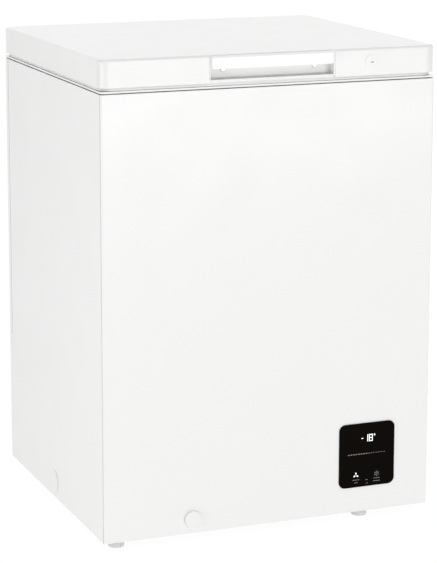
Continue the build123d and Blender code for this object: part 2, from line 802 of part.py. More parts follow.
def foot():
    """Levelling foot with a knurled rim and a threaded stud."""
    disc = Location((0, 0, foot_disc / 2)) * Cylinder(foot_radius, foot_disc)
    disc = chamfer(disc.faces().sort_by(Axis.Z)[0].edges(), 1.5)
    for notch in range(18):
        angle = math.radians(notch * 20)
        disc -= rod_z(foot_radius * math.cos(angle), foot_radius * math.sin(angle), 0, foot_disc, 0.9)
    neck_top = foot_height - neck_clearance
    neck = rod_z(0, 0, foot_disc, neck_top, foot_neck)
    return disc + neck + rod_z(0, 0, neck_top, foot_height + stud_length, stud_radius)


def ear(points, radius, x0, x1, hole):
    """Upright hinge ear: a plate outline with a round end about the pivot."""
    profile = Polygon(*points, align=None) + Location((pivot_y, pivot_z)) * Circle(radius)
    profile -= Location((pivot_y, pivot_z)) * Circle(hole)
    plane = Plane(origin=(x0, 0, 0), x_dir=(0, 1, 0), z_dir=(1, 0, 0))
    return extrude(plane * profile, x1 - x0, dir=(1, 0, 0))


def hinge_bases():
    """Brackets on the cabinet's back, with pins, springs and screws."""
    pins, springs = [], []
    outer = hinge_half_width + hinge_sheet
    seat = rear + hinge_sheet
    for side, x in hinge_places.items():
        base_plate = block(x - outer, x + outer, rear, seat, top - hinge_plate_low, top - hinge_plate_high)
        outline = [(seat, top - 75), (pivot_y + ear_radius, top - 40), (pivot_y + ear_radius, pivot_z),
                   (pivot_y - ear_radius, pivot_z), (seat, top - hinge_plate_high - 3)]
        for x0 in (x - outer, x + hinge_half_width):
            base_plate += ear(outline, ear_radius, x0, x0 + hinge_sheet, pin_radius)
        node(f"hinge_base_{side}", base_plate - screw_shafts(hinge_screw_places(), rear, seat))
        end = outer + 2 * arm_side_gap + hinge_sheet
        pin = rod_x(x - end, x + end, pivot_y, pivot_z, pin_radius)
        for x0 in (x - end - 1.5, x + end):
            pin += rod_x(x0, x0 + 1.5, pivot_y, pivot_z, pin_radius + 2)
        pins.append(pin.solid())
        coil_length = 2 * hinge_half_width - 8
        path = Helix(coil_length / spring_turns, coil_length, spring_radius)
        section = Plane(origin=path @ 0, z_dir=path % 0) * Circle(spring_wire)
        wire = sweep(section, path=path, is_frenet=True)
        springs.append((Location((x - coil_length / 2, pivot_y, pivot_z), (0, 90, 0)) * wire).solid())
    node("hinge_pins", Compound(children=pins))
    node("hinge_springs", Compound(children=springs))
    node("hinge_base_screws", screws(hinge_screw_places(), seat, rear - 8, 3))


def hinge_arms():
    """Brackets on the lid's rear face that turn on the pins."""
    inner = hinge_half_width + hinge_sheet + arm_side_gap
    for side, x in hinge_places.items():
        arm = block(x - inner - hinge_sheet, x + inner + hinge_sheet, lid_rear, lid_rear + hinge_sheet,
                    lid_bottom + 5, lid_top - 8)
        outline = [(lid_rear, lid_bottom + 8), (lid_rear, lid_top - 8), (lid_rear + 6, lid_top - 8),
                   (pivot_y + arm_radius, pivot_z), (pivot_y - arm_radius, pivot_z)]
        for x0 in (x - inner - hinge_sheet, x + inner):
            arm += ear(outline, arm_radius, x0, x0 + hinge_sheet, pin_radius + pin_clearance)
        shafts = screw_shafts(arm_screw_places(), lid_rear, lid_rear + hinge_sheet)
        node(f"hinge_arm_{side}", arm - shafts)
    node("hinge_arm_screws", screws(arm_screw_places(), lid_rear + hinge_sheet, lid_rear - 10, 3))


def lid_slab(inset, z0, z1, corner):
    """Upright prism over the lid's plan, drawn in by an inset from the lid's outer face."""
    return slab(inset - lid_overhang, z0, z1, corner)


def pocket(depth, z0, z1):
    """Space of the handle pocket in the lid's front."""
    half = pocket_width / 2
    return block(-half, half, lid_front, lid_front + depth, z0, z1)


def handle_screw_places():
    """Centres (x, z) of the handle's screws."""
    return [(x, lid_bottom + handle_screw_rise) for x in (-handle_screw_x, handle_screw_x)]


def lid():
    """Outer shell, inner panel, foam and gasket."""
    arm_shafts = screw_shafts(arm_screw_places(), lid_rear, lid_rear - 10)
    handle_shafts = screw_shafts(handle_screw_places(), lid_front + pocket_depth - pocket_wall,
                                 lid_front + pocket_depth + 10)
    shell = lid_slab(0, lid_bottom, lid_top, lid_corner)
    shell = fillet(shell.faces().sort_by(Axis.Z)[-1].edges(), lid_edge)
    shell -= lid_slab(lid_sheet, lid_bottom, lid_top - lid_sheet, lid_corner - lid_sheet)
    shell -= pocket(lid_sheet, lid_bottom, pocket_top)
    for x in (-pocket_width / 2 - joint_line, pocket_width / 2):
        shell -= block(x, x + joint_line, lid_front, lid_front + joint_line, lid_bottom,
                       lid_top - lid_edge)
    shell -= rod_y(lock_x, lid_front, lid_front + lid_sheet, lock_height, lock_body_radius)
    node("lid_outer_shell", shell - arm_shafts)

    flange_top = flange_z + lid_sheet
    pad_corner = liner_corner + 8
    panel = lid_slab(lid_sheet, flange_z, flange_top, lid_corner - lid_sheet)
    pad = slab(pad_inset, top + pad_bottom, flange_top, pad_corner)
    pad = fillet(pad.faces().sort_by(Axis.Z)[0].edges(), 4)
    panel += pad
    panel -= slab(pad_inset + lid_sheet, top + pad_bottom + lid_sheet, flange_top, pad_corner - lid_sheet)
    panel -= block(lock_x - cam_width + 2, lock_x + cam_reach - 1, cam_y - 1, cam_end + 1,
                   flange_z, flange_top)
    node("lid_inner_panel", panel)

    body = lid_slab(lid_sheet, flange_top, lid_top - lid_sheet, lid_corner - lid_sheet)
    body += slab(pad_inset + lid_sheet, top + pad_bottom + lid_sheet, flange_top, pad_corner - lid_sheet)
    body -= pocket(pocket_depth, flange_top, pocket_top)
    body -= block(lock_x - barrel_radius - 8, lock_x + cam_reach + 4, lid_front, cam_end + 4,
                  lid_bottom, lock_height + lock_body_radius + 7)
    node("lid_foam", body - arm_shafts - handle_shafts)

    low = top + frame_top + gasket_rest
    first = gasket_inset - lid_overhang
    last = first + gasket_width
    waist_low, waist_high = low + 3.2, flange_z - 3
    corner = liner_corner
    seal = ring(first, last, low, waist_low, corner, corner - 8)
    seal += ring(first + 2, last - 2, waist_low, waist_high, corner, corner - 8)
    seal += ring(first, last, waist_high, flange_z, corner, corner - 8)
    node("lid_gasket", seal)

    half = pocket_width / 2
    back = pocket_depth - pocket_wall
    tray = pocket(pocket_depth, flange_top, pocket_top)
    tray -= block(-half + pocket_wall, half - pocket_wall, lid_front, lid_front + back,
                  flange_top, pocket_top - pocket_wall)
    node("handle_base", tray - handle_shafts)
    node("handle_screws", handle_screws())

    half = grip_width / 2
    bar = block(-half, half, lid_front - grip_reach, lid_front, grip_low, grip_high)
    bar = fillet(bar.edges().filter_by(Axis.Z).group_by(Axis.Y)[0], grip_reach - 2)
    for last, radius in ((-1, 3.5), (0, 1.2)):
        edges = bar.faces().sort_by(Axis.Z)[last].edges()
        bar = fillet(edges.filter_by(lambda e: e.center().Y < lid_front - 0.1), radius)
    hollow = half - 2 * grip_wall
    bar -= block(-hollow, hollow, lid_front - grip_reach + grip_wall, lid_front,
                 grip_low, grip_hollow_top)
    bar += block(-hollow, hollow, lid_front, lid_front + back, grip_hollow_top,
                 pocket_top - pocket_wall)
    node("handle_grip", bar)


def handle_screws():
    """Countersunk-looking screws in the pocket's back wall."""
    seat = lid_front + pocket_depth - pocket_wall
    return screws(handle_screw_places(), seat, lid_front + pocket_depth + 10, -2)


def lock():
    """Key lock: housing in the lid's front, barrel and cam."""
    housing = rod_y(lock_x, lid_front - 1, lid_front, lock_height, lock_bezel_radius)
    housing += rod_y(lock_x, lid_front, lid_front + lock_depth, lock_height, lock_body_radius)
    housing -= rod_y(lock_x, lid_front - 1, lid_front + lock_depth, lock_height,
                     barrel_radius + barrel_clearance)
    node("lock_housing", housing)
    barrel = rod_y(lock_x, lid_front - 1, cam_y, lock_height, barrel_radius)
    barrel += rod_y(lock_x, cam_y, cam_end + 1, lock_height, barrel_radius / 2)
    barrel -= block(lock_x - 3.5, lock_x + 3.5, lid_front - 1, lid_front + 4,
                    lock_height - 0.7, lock_height + 0.7)
    node("lock_barrel", barrel)
    cam = block(lock_x, lock_x + cam_reach, cam_y, cam_end,
                lock_height - cam_width / 2, lock_height + cam_width / 2)
    cam += rod_y(lock_x, cam_y, cam_end, lock_height, barrel_radius)
    node("lock_cam", cam - rod_y(lock_x, cam_y, cam_end, lock_height, barrel_radius / 2))


def basket():
    """Hanging basket: rim wire on the frame's ledge and the tub below it."""
    x1 = right - wall - basket_gap
    x0 = x1 - basket_length
    rim_z = top + ledge_top + rim_rest + rim_wire
    ledge_middle = (ledge_inset + frame_wall + wall) / 2
    y0, y1 = front + ledge_middle, rear - ledge_middle
    corner = 16
    outline = Location(((x0 + x1) / 2, middle, rim_z)) * RectangleRounded(x1 - x0, y1 - y0, corner)
    path = outline.face().outer_wire()
    start = path.edges()[0]
    rim = sweep(Plane(origin=start @ 0, z_dir=start % 0) * Circle(rim_wire), path=path)
    node("basket_rim", rim)
    flange_low = rim_z - rim_wire
    middle_x = (x0 + x1) / 2
    centre = Location((middle_x, middle, flange_low))
    length, depth = x1 - x0 - 2 * rim_wire, y1 - y0 - 2 * rim_wire
    lip = extrude(centre * RectangleRounded(length, depth, corner - rim_wire), 1.5)
    inset = 12
    outline = RectangleRounded(length - 2 * inset, depth - 2 * inset, corner)
    tub = extrude(Location((middle_x, middle, flange_low - basket_height)) * outline, basket_height)
    inner = RectangleRounded(length - 2 * inset - 2 * basket_wall, depth - 2 * inset - 2 * basket_wall,
                             corner - basket_wall)
    hollow = extrude(Location((middle_x, middle, flange_low - basket_height + basket_wall)) * inner,
                     basket_height + 2)
    node("basket_tub", lip + tub - hollow)


def main():
    os.makedirs("parts", exist_ok=True)
    panels()
    liner()
    foam(probe())
    top_frame()
    bay()
    compressor()
    pipes()
    drain()
    control_panel()
    small_trim()
    hinge_bases()
    hinge_arms()
    lid()
    lock()
    basket()
    for place, (x, y) in feet.items():
        node(f"foot_{place}", Location((x, y, 0)) * foot())


main()
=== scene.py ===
import bmesh
import bpy
import json
import math
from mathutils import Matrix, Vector


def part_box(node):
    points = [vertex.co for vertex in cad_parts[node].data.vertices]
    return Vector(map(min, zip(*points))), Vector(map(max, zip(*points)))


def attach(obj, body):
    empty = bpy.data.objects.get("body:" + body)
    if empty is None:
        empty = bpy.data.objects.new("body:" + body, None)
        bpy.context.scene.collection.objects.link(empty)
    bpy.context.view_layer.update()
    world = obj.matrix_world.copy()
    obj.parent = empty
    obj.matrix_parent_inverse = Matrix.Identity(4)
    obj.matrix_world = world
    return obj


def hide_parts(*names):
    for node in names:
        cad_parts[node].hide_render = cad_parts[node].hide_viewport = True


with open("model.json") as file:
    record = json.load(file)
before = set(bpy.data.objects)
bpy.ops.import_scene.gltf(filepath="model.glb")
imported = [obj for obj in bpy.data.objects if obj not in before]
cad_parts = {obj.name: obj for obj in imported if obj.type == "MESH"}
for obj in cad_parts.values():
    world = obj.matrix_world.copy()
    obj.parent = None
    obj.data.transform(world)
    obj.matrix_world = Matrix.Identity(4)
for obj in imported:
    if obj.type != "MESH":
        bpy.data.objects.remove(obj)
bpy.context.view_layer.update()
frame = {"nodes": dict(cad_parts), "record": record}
mm = 0.001


def toLinear(hexColour):
    # sRGB hex to the linear colour that sockets want
    parts = [int(hexColour[i:i + 2], 16) / 255 for i in (0, 2, 4)]
    return [c / 12.92 if c <= 0.04045 else ((c + 0.055) / 1.055) ** 2.4 for c in parts] + [1.0]


def addNode(tree, kind, settings=None, links=None):
    # settings name a socket or a property, links are {socket: another node's output}
    node = tree.nodes.new(kind)
    for name, value in (settings or {}).items():
        if name in node.inputs:
            node.inputs[name].default_value = value
        else:
            setattr(node, name, value)
    for name, output in (links or {}).items():
        tree.links.new(output, node.inputs[name])
    return node


def startMaterial(name, surface):
    # surface holds the shader's constant values, set straight on its sockets
    material = bpy.data.materials.new(name)
    material.use_nodes = True
    tree = material.node_tree
    shader = tree.nodes["Principled BSDF"]
    for socket, value in surface.items():
        shader.inputs[socket].default_value = value
    position = addNode(tree, "ShaderNodeNewGeometry").outputs["Position"]
    return material, tree, shader, position


def addRelief(tree, shader, pattern, depthMm, strength):
    bump = addNode(tree, "ShaderNodeBump", {"Distance": depthMm * mm, "Strength": strength},
                   {"Height": pattern})
    tree.links.new(bump.outputs["Normal"], shader.inputs["Normal"])


def coverSurface(tree, shader, pattern, look):
    # spreads one 0..1 pattern over the colour, the gloss and, where there is relief, the bump
    low, high = look.get("span", (0.35, 0.65))
    tint = addNode(tree, "ShaderNodeMix", {"data_type": "RGBA", "A": toLinear(look["first"]),
                                           "B": toLinear(look["second"])}, {"Factor": pattern})
    tree.links.new(tint.outputs["Result"], shader.inputs["Base Color"])
    gloss = addNode(tree, "ShaderNodeMapRange",
                    {"From Min": low, "From Max": high,
                     "To Min": look["rough"][0], "To Max": look["rough"][1]},
                    {"Value": pattern})
    tree.links.new(gloss.outputs["Result"], shader.inputs["Roughness"])
    if "reliefMm" in look:
        addRelief(tree, shader, pattern, look["reliefMm"], look["relief"])
    return tint.outputs["Result"]


camera = {
    "fromCorner": (-1.148, -3.399, 1.275),   # metres from the cabinet's front left lower corner
    "yaw": 21.78, "pitch": -10.53, "roll": -0.07,   # degrees
    "lens": 139.4, "shift": -0.15,
}


def placeCamera():
    low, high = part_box("front_panel")
    data = bpy.data.cameras.new("camera")
    view = bpy.data.objects.new("camera", data)
    bpy.context.collection.objects.link(view)
    data.lens = camera["lens"]
    data.sensor_width = 36
    data.shift_y = camera["shift"]
    data.clip_start, data.clip_end = 0.05, 60
    view.location = Vector(low) + Vector(camera["fromCorner"])
    view.rotation_euler = [math.radians(a) for a in (90 + camera["pitch"], camera["roll"], -camera["yaw"])]
    bpy.context.scene.camera = view


placeCamera()
print("camera placed")

paint = {"first": "F0F0EF", "second": "EEEEED", "rough": (0.30, 0.38), "cloudMm": 90,
         "peelMm": 1.6, "peelDepthMm": 0.01, "peel": 0.12}


def polyesterPaintedSteel():
    # pre-painted steel sheet, roller coated: white, softly glossy, with a faint orange peel
    material, tree, shader, position = startMaterial("polyesterPaintedSteel", {
        "IOR": 1.5, "Coat Weight": 0.15, "Coat Roughness": 0.12})
    cloud = addNode(tree, "ShaderNodeTexNoise", {"Scale": 1 / (paint["cloudMm"] * mm)},
                    {"Vector": position})
    coverSurface(tree, shader, cloud.outputs["Fac"], paint)
    peel = addNode(tree, "ShaderNodeTexNoise", {"Scale": 1 / (paint["peelMm"] * mm)}, {"Vector": position})
    addRelief(tree, shader, peel.outputs["Fac"], paint["peelDepthMm"], paint["peel"])
    return material


mould = {"cloudMm": 60, "rippleMm": 45, "rippleDepthMm": 0.08, "ripple": 0.3}
mouldings = {
    "plain": {"first": "F0F0EF", "second": "EDEDEC", "rough": (0.32, 0.40), "span": (0, 1)},
    "polished": {"first": "FCFCFC", "second": "FAFAFA", "rough": (0.18, 0.26), "span": (0, 1)},
    "lockCap": {"first": "ECECEB", "second": "E6E6E5", "rough": (0.22, 0.30), "span": (0, 1)},
}


def mouldedWhiteAbs(kind):
    # injection moulded ABS: even white, a soft gloss, faint sink ripples
    material, tree, shader, position = startMaterial(kind + "WhiteAbs", {
        "IOR": 1.53, "Coat Weight": 0.1, "Coat Roughness": 0.1})
    cloud = addNode(tree, "ShaderNodeTexNoise", {"Scale": 1 / (mould["cloudMm"] * mm)},
                    {"Vector": position})
    coverSurface(tree, shader, cloud.outputs["Fac"], mouldings[kind])
    ripple = addNode(tree, "ShaderNodeTexNoise", {"Scale": 1 / (mould["rippleMm"] * mm), "Detail": 0.0},
                     {"Vector": position})
    addRelief(tree, shader, ripple.outputs["Fac"], mould["rippleDepthMm"], mould["ripple"])
    return material


zinc = {"first": "C9CCCE", "second": "A9ADB0", "rough": (0.36, 0.55), "span": (0, 1),
        "reliefMm": 0.02, "relief": 0.2, "spangleMm": 11}


def hotDipGalvanisedSteel():
    # hot-dip zinc: pale grey with crystal spangle a centimetre across, and a dull sheen
    material, tree, shader, position = startMaterial("hotDipGalvanisedSteel", {"Metallic": 0.85})
    cells = addNode(tree, "ShaderNodeTexVoronoi", {"Scale": 1 / (zinc["spangleMm"] * mm)},
                    {"Vector": position})
    grey = addNode(tree, "ShaderNodeSeparateColor", {}, {"Color": cells.outputs["Color"]})
    coverSurface(tree, shader, grey.outputs["Red"], zinc)
    return material


stucco = {"first": "E4E6E8", "second": "D3D6D9", "rough": (0.30, 0.42), "span": (0, 0.7),
          "reliefMm": 0.4, "relief": 0.6, "pebbleMm": 4.0}


def embossedAluminium():
    # stucco-embossed aluminium tank wall: pebbled relief about 4 mm across, bright but soft
    material, tree, shader, position = startMaterial("embossedAluminium", {"Metallic": 0.75})
    cells = addNode(tree, "ShaderNodeTexVoronoi", {
        "feature": "SMOOTH_F1", "Scale": 1 / (stucco["pebbleMm"] * mm), "Smoothness": 0.6},
        {"Vector": position})
    coverSurface(tree, shader, cells.outputs["Distance"], stucco)
    return material


# what each plainer finish is, how wide its pattern runs and what that gives the eye
plainFinishes = {
    # rigid polyurethane: cream, open pores where it was cut
    "blownPolyurethaneFoam": {"first": "E9DDB4", "second": "D4C48F", "rough": (0.85, 0.95),
                              "patternMm": 2.2, "detail": 4, "reliefMm": 0.5, "relief": 0.7},
    # soft PVC seal: warm white, matt, with fine lines along the extrusion
    "extrudedVinyl": {"first": "F4F4F2", "second": "EBEBE9", "rough": (0.48, 0.60), "patternMm": 1.5,
                      "stretch": (0.2, 0.2, 3), "reliefMm": 0.05, "relief": 0.3},
    # bright zinc on small steel parts: cool grey, fine brushed streaks
    "zincPlatedSteel": {"first": "D2D4D6", "second": "B4B8BB", "rough": (0.28, 0.42), "patternMm": 1.2,
                        "stretch": (1, 1, 5), "reliefMm": 0.02, "relief": 0.3, "metal": 0.95},
    # white powder coat on brackets and wires: dense, slightly pebbled
    "powderCoatedSteel": {"first": "F1F1F0", "second": "E8E8E7", "rough": (0.34, 0.46), "patternMm": 1.2,
                          "reliefMm": 0.04, "relief": 0.35},
    # baked black enamel on the compressor: dark, half gloss, slightly rippled
    "bakedBlackEnamel": {"first": "17181A", "second": "1E1F21", "rough": (0.25, 0.40), "patternMm": 14,
                         "reliefMm": 0.1, "relief": 0.2},
    # drawn copper pipe: salmon metal with darker handling stains
    "drawnCopper": {"first": "C98A66", "second": "9A5F42", "rough": (0.28, 0.50), "patternMm": 25,
                    "detail": 3, "metal": 1.0},
    # drawn aluminium tube: matt silver
    "drawnAluminium": {"first": "CDD0D2", "second": "B5B8BB", "rough": (0.35, 0.50), "patternMm": 20,
                       "detail": 3, "metal": 1.0},
    # glass-filled black plastic of inner covers: spark-eroded matt grain
    "mouldedBlackNylon": {"first": "1C1C1E", "second": "242426", "rough": (0.50, 0.65), "patternMm": 0.8,
                          "reliefMm": 0.03, "relief": 0.5},
    # light grey polypropylene feet: waxy, scuffed near the floor
    "mouldedGreyPolypropylene": {"first": "E6E6E4", "second": "D2D2D0", "rough": (0.42, 0.60),
                                 "patternMm": 5, "detail": 4, "reliefMm": 0.05, "relief": 0.3},
    # translucent-white silicone plug: dull, finely dusted
    "castSilicone": {"first": "DADAD6", "second": "CDCDC8", "rough": (0.70, 0.85), "patternMm": 3,
                     "detail": 3, "reliefMm": 0.04, "relief": 0.4},
    # black nitrile grommets: dull, a little bloom on the surface
    "mouldedNitrile": {"first": "1B1B1B", "second": "262626", "rough": (0.70, 0.85), "patternMm": 3,
                       "detail": 3, "reliefMm": 0.04, "relief": 0.4},
}


def plainFinish(name):
    look = plainFinishes[name]
    material, tree, shader, position = startMaterial(name, {"Metallic": look.get("metal", 0.0)})
    scale = [way / (look["patternMm"] * mm) for way in look.get("stretch", (1, 1, 1))]
    spread = addNode(tree, "ShaderNodeMapping", {"Scale": scale}, {"Vector": position})
    pattern = addNode(tree, "ShaderNodeTexNoise", {"Scale": 1.0, "Detail": look.get("detail", 2.0)},
                      {"Vector": spread.outputs["Vector"]})
    coverSurface(tree, shader, pattern.outputs["Fac"], look)
    return material


glass = {"first": "0B0907", "second": "0F0B08", "rough": (0.04, 0.09), "cloudMm": 45}


def backPrintedGlass():
    # clear glass printed black from behind: deep black under a mirror-smooth face
    material, tree, shader, position = startMaterial("backPrintedGlass", {
        "IOR": 1.45, "Specular IOR Level": 0.02})
    cloud = addNode(tree, "ShaderNodeTexNoise", {"Scale": 1 / (glass["cloudMm"] * mm)},
                    {"Vector": position})
    coverSurface(tree, shader, cloud.outputs["Fac"], glass)
    return material


lights = {
    "digits": {"first": "F4F6F8", "second": "D8DADC", "rough": (0.35, 0.45), "glow": 0.9, "patchMm": 2.5},
    "icons": {"first": "8C8C8A", "second": "5E5E5C", "rough": (0.35, 0.45), "glow": 0.08, "patchMm": 2.5},
}


def litPrint(kind):
    # light shining through the print, a little uneven along each bar
    look = lights[kind]
    material, tree, shader, position = startMaterial(kind + "LightThroughPrint", {
        "Emission Strength": look["glow"]})
    patch = addNode(tree, "ShaderNodeTexNoise", {"Scale": 1 / (look["patchMm"] * mm)},
                    {"Vector": position})
    tint = coverSurface(tree, shader, patch.outputs["Fac"], look)
    tree.links.new(tint, shader.inputs["Emission Color"])
    return material


board = {"first": "1E6B3A", "second": "2E8A4E", "rough": (0.30, 0.40), "span": (0, 1),
         "trackMm": 8, "gap": 0.04}


def solderMaskBoard():
    # green circuit board: glossy mask over a brickwork of copper runs
    material, tree, shader, position = startMaterial("solderMaskBoard", {})
    turned = addNode(tree, "ShaderNodeMapping", {"Rotation": (math.pi / 2, 0, 0)}, {"Vector": position})
    tracks = addNode(tree, "ShaderNodeTexBrick",
                     {"Scale": 1 / (board["trackMm"] * mm), "Mortar Size": board["gap"]},
                     {"Vector": turned.outputs["Vector"]})
    coverSurface(tree, shader, tracks.outputs["Fac"], board)
    return material


finishes = {
    "white_steel": polyesterPaintedSteel(),
    "galvanised_steel": hotDipGalvanisedSteel(),
    "liner_aluminium": embossedAluminium(),
    "foam": plainFinish("blownPolyurethaneFoam"),
    "white_plastic": mouldedWhiteAbs("plain"),
    "handle_white": mouldedWhiteAbs("polished"),
    "gasket_vinyl": plainFinish("extrudedVinyl"),
    "plug_rubber": plainFinish("castSilicone"),
    "grey_plastic": plainFinish("mouldedGreyPolypropylene"),
    "black_plastic": plainFinish("mouldedBlackNylon"),
    "control_glass": backPrintedGlass(),
    "display_light": litPrint("digits"),
    "icon_print": litPrint("icons"),
    "circuit_board": solderMaskBoard(),
    "hinge_steel": plainFinish("powderCoatedSteel"),
    "zinc_steel": plainFinish("zincPlatedSteel"),
    "lock_metal": mouldedWhiteAbs("lockCap"),
    "black_enamel": plainFinish("bakedBlackEnamel"),
    "grommet_rubber": plainFinish("mouldedNitrile"),
    "copper_pipe": plainFinish("drawnCopper"),
    "evaporator_pipe": plainFinish("drawnAluminium"),
}
finishes["basket_wire"] = finishes["hinge_steel"]


def dressFrame():
    # every CAD piece takes the finish of its slot in the record
    slots = {row["node"]: row["material_slot"] for row in frame["record"]["subparts"]}
    for name, piece in frame["nodes"].items():
        material = finishes[slots[name]]
        if not piece.material_slots:
            piece.data.materials.append(material)
        for slot in piece.material_slots:
            slot.material = material


dressFrame()
print("frame dressed:", len(frame["nodes"]), "pieces")


def addMesh(name, verts, faces, body, slot, smooth=True):
    mesh = bpy.data.meshes.new(name)
    mesh.from_pydata([tuple(v) for v in verts], [], faces)
    mesh.update()
    piece = bpy.data.objects.new(name, mesh)
    bpy.context.collection.objects.link(piece)
    tidy = bmesh.new()
    tidy.from_mesh(mesh)
    bmesh.ops.recalc_face_normals(tidy, faces=tidy.faces)
    tidy.to_mesh(mesh)
    tidy.free()
    for face in mesh.polygons:
        face.use_smooth = smooth
    mesh.materials.append(finishes[slot])
    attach(piece, body)
    return piece


def roundedLoop(centre, halfX, halfY, radius, z, steps=8):
    # points round a rounded rectangle in plan
    points = []
    for quarter, (sx, sy) in enumerate(((1, 1), (-1, 1), (-1, -1), (1, -1))):
        cx, cy = centre[0] + sx * (halfX - radius), centre[1] + sy * (halfY - radius)
        for i in range(steps + 1):
            angle = (quarter + i / steps) * math.pi / 2
            points.append(Vector((cx + radius * math.cos(angle), cy + radius * math.sin(angle), z)))
    return points


def ringMesh(name, centre, half, profile, cornerRadius, body, slot):
    # closed profile of (inset, z) points carried round a rounded rectangle
    loops = [roundedLoop(centre, half[0] - inset, half[1] - inset, max(cornerRadius - inset, 2 * mm), z)
             for inset, z in profile]
    count = len(loops[0])
    verts = [v for loop in loops for v in loop]
    faces = []
    for row in range(len(loops)):
        nextRow = (row + 1) % len(loops)
        for i in range(count):
            j = (i + 1) % count
            faces.append((row * count + i, row * count + j, nextRow * count + j, nextRow * count + i))
    return addMesh(name, verts, faces, body, slot)


def bentPath(points, radius, steps=5):
    # straight runs with each corner rounded by an arc
    points = [Vector(p) for p in points]
    path = [points[0]]
    for before, corner, after in zip(points, points[1:], points[2:]):
        into, out = (before - corner).normalized(), (after - corner).normalized()
        start, end = corner + into * radius, corner + out * radius
        for i in range(steps + 1):
            t = i / steps
            path.append(start * (1 - t) ** 2 + corner * 2 * t * (1 - t) + end * t ** 2)
    path.append(points[-1])
    return path


def wirePiece(name, paths, wireRadius, body, slot, closed=False):
    # one curve that holds all the wires of one gauge
    data = bpy.data.curves.new(name, "CURVE")
    data.dimensions = "3D"
    data.bevel_depth = wireRadius
    data.bevel_resolution = 3
    data.use_fill_caps = True
    for path in paths:
        spline = data.splines.new("POLY")
        spline.points.add(len(path) - 1)
        for point, place in zip(spline.points, path):
            point.co = (*place, 1)
        spline.use_cyclic_u = closed
    piece = bpy.data.objects.new(name, data)
    bpy.context.collection.objects.link(piece)
    data.materials.append(finishes[slot])
    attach(piece, body)
    return piece


gasket = {"width": 9 * mm, "bellows": 1.6 * mm, "lip": 0.6 * mm, "corner": 22 * mm}


def buildGasket():
    low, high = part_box("lid_gasket")
    centre = ((low[0] + high[0]) / 2, (low[1] + high[1]) / 2)
    half = ((high[0] - low[0]) / 2, (high[1] - low[1]) / 2)
    width, z0, z1 = gasket["width"], low[2], high[2]
    height, fold, lip = z1 - z0, gasket["bellows"], gasket["lip"]
    outer = [(0, z1), (lip, z1 - height * 0.15), (fold, z1 - height * 0.30), (fold, z1 - height * 0.42),
             (lip, z1 - height * 0.55), (0, z1 - height * 0.66), (0, z0 + height * 0.12), (lip, z0)]
    inner = [(width - inset, z) for inset, z in reversed(outer)]
    piece = ringMesh("gasketBellows", centre, half, outer + inner, gasket["corner"], "lid", "gasket_vinyl")
    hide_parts("lid_gasket")


buildGasket()
print("gasket built")


basketWires = {"wire": 1.3 * mm, "rim": 2.9 * mm, "pitch": 21 * mm, "rings": 5, "corner": 16 * mm,
               "bend": 5 * mm, "shoulder": 12 * mm, "endGap": 22 * mm, "ringCorner": 10 * mm,
               "lowestRing": 18 * mm, "ringRoom": 45 * mm}   # ringRoom: height left free of rings


def basketRun(across, along, low, high, ends, drop):
    # one wire: from the rim down one wall, across the bottom and up the other wall
    z1 = ends[2]
    z0 = low[2] + basketWires["wire"]
    points = []
    shoulder = z1 - basketWires["shoulder"]
    for place, z in ((ends[0], z1), (low[across] + drop, shoulder), (low[across] + drop, z0),
                     (high[across] - drop, z0), (high[across] - drop, shoulder), (ends[1], z1)):
        spot = [0, 0, z]
        spot[across], spot[1 - across] = place, along
        points.append(spot)
    return bentPath(points, basketWires["bend"])


def buildBasket():
    rimLow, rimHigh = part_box("basket_rim")
    low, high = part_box("basket_tub")
    rim, wire = basketWires["rim"], basketWires["wire"]
    rimZ = (rimLow[2] + rimHigh[2]) / 2
    centre = ((rimLow[0] + rimHigh[0]) / 2, (rimLow[1] + rimHigh[1]) / 2)
    half = ((rimHigh[0] - rimLow[0]) / 2 - rim, (rimHigh[1] - rimLow[1]) / 2 - rim)
    loop = roundedLoop(centre, half[0], half[1], basketWires["corner"], rimZ)
    rimPiece = wirePiece("basketRimWire", [loop], rim, "basket", "basket_wire", closed=True)
    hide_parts("basket_rim")
    drop = basketWires["shoulder"] + wire
    runs = []
    for across in (0, 1):
        other = 1 - across
        first, last = low[other] + basketWires["endGap"], high[other] - basketWires["endGap"]
        count = round((last - first) / basketWires["pitch"])
        for i in range(count + 1):
            along = first + (last - first) * i / count
            ends = (rimLow[across] + rim, rimHigh[across] - rim, rimZ)
            runs.append(basketRun(across, along, low, high, ends, drop))
    mesh = wirePiece("basketWires", runs, wire, "basket", "basket_wire")
    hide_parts("basket_tub")
    inset = drop + wire * 1.6   # the rings lie just inside the upright wires
    middle = ((low[0] + high[0]) / 2, (low[1] + high[1]) / 2)
    half = ((high[0] - low[0]) / 2 - inset, (high[1] - low[1]) / 2 - inset)
    bottom = low[2] + basketWires["lowestRing"]
    step = (high[2] - low[2] - basketWires["ringRoom"]) / (basketWires["rings"] - 1)
    rings = [roundedLoop(middle, half[0], half[1], basketWires["ringCorner"], bottom + step * i)
             for i in range(basketWires["rings"])]
    wirePiece("basketHoops", rings, wire, "basket", "basket_wire", closed=True)


buildBasket()
print("basket built")


# width and depth of the dark strips that paint the shade in the side seams
seamShadeStrip = {"width": 1 * mm, "depth": 0.6 * mm}


